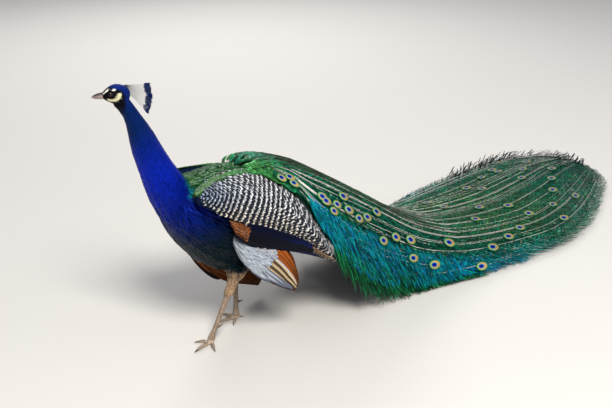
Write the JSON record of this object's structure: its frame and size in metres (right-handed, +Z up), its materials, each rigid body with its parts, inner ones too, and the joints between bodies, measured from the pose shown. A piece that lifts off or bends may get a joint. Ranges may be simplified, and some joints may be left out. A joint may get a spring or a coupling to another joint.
{
  "type": "standing peacock",
  "caption": "Life-size male peafowl standing with drooped wings, a fan crest on the head and a long train swept down behind it and spread over the floor.",
  "frame": {"origin": "centre of the bounding box in plan, on the floor the bird stands on", "axes": "+X runs from the head towards the end of the train, so the bird faces -X; its left side faces -Y; +Z is up"},
  "size_m": [2.0674, 0.6446, 0.7105],
  "materials": {
    "head": "close glossy blue feathers with white marks round the eye",
    "bill": "grey pinkish horn",
    "eye": "wet dark brown eye",
    "crest": "bare pale shafts with blue tips",
    "blue_plumage": "glossy deep blue feathers, darker and greener low on the breast",
    "green_plumage": "scaly green and gold feathers",
    "barred_plumage": "cream feathers with wavy black bars",
    "black_plumage": "black feathers with a blue gloss",
    "rufous_plumage": "chestnut feathers, paler towards the front",
    "buff_plumage": "short soft buff feathers",
    "leg_scales": "grey beige scales",
    "horn": "dark horn",
    "train_plumage": "loose emerald and bronze feathers with ringed eyespots on pale shafts",
    "brown_plumage": "dull dark brown tail feathers"
  },
  "bodies": {
    "root": {"head": "head", "bill_upper": "bill", "bill_lower": "bill", "eye_left": "eye", "eye_right": "eye", "crest": "crest", "neck_upper": "blue_plumage", "neck_lower": "blue_plumage", "breast": "blue_plumage", "trunk": "green_plumage", "rump": "green_plumage", "wing_left_coverts": "barred_plumage", "wing_left_secondaries": "black_plumage", "wing_left_primaries": "rufous_plumage", "wing_right_coverts": "barred_plumage", "wing_right_secondaries": "black_plumage", "wing_right_primaries": "rufous_plumage", "thigh_left": "buff_plumage", "shank_left": "leg_scales", "spur_left": "horn", "toe_left_middle": "leg_scales", "claw_left_middle": "horn", "toe_left_inner": "leg_scales", "claw_left_inner": "horn", "toe_left_outer": "leg_scales", "claw_left_outer": "horn", "toe_left_hind": "leg_scales", "claw_left_hind": "horn", "thigh_right": "buff_plumage", "shank_right": "leg_scales", "spur_right": "horn", "toe_right_middle": "leg_scales", "claw_right_middle": "horn", "toe_right_inner": "leg_scales", "claw_right_inner": "horn", "toe_right_outer": "leg_scales", "claw_right_outer": "horn", "toe_right_hind": "leg_scales", "claw_right_hind": "horn", "train_left_root": "train_plumage", "train_left_fall": "train_plumage", "train_left_sweep": "train_plumage", "train_left_spread": "train_plumage", "train_left_fan": "train_plumage", "train_left_end": "train_plumage", "train_middle_root": "train_plumage", "train_middle_fall": "train_plumage", "train_middle_sweep": "train_plumage", "train_middle_spread": "train_plumage", "train_middle_fan": "train_plumage", "train_middle_end": "train_plumage", "train_right_root": "train_plumage", "train_right_fall": "train_plumage", "train_right_sweep": "train_plumage", "train_right_spread": "train_plumage", "train_right_fan": "train_plumage", "train_right_end": "train_plumage", "tail_feathers": "brown_plumage"}
  },
  "joints": []
}
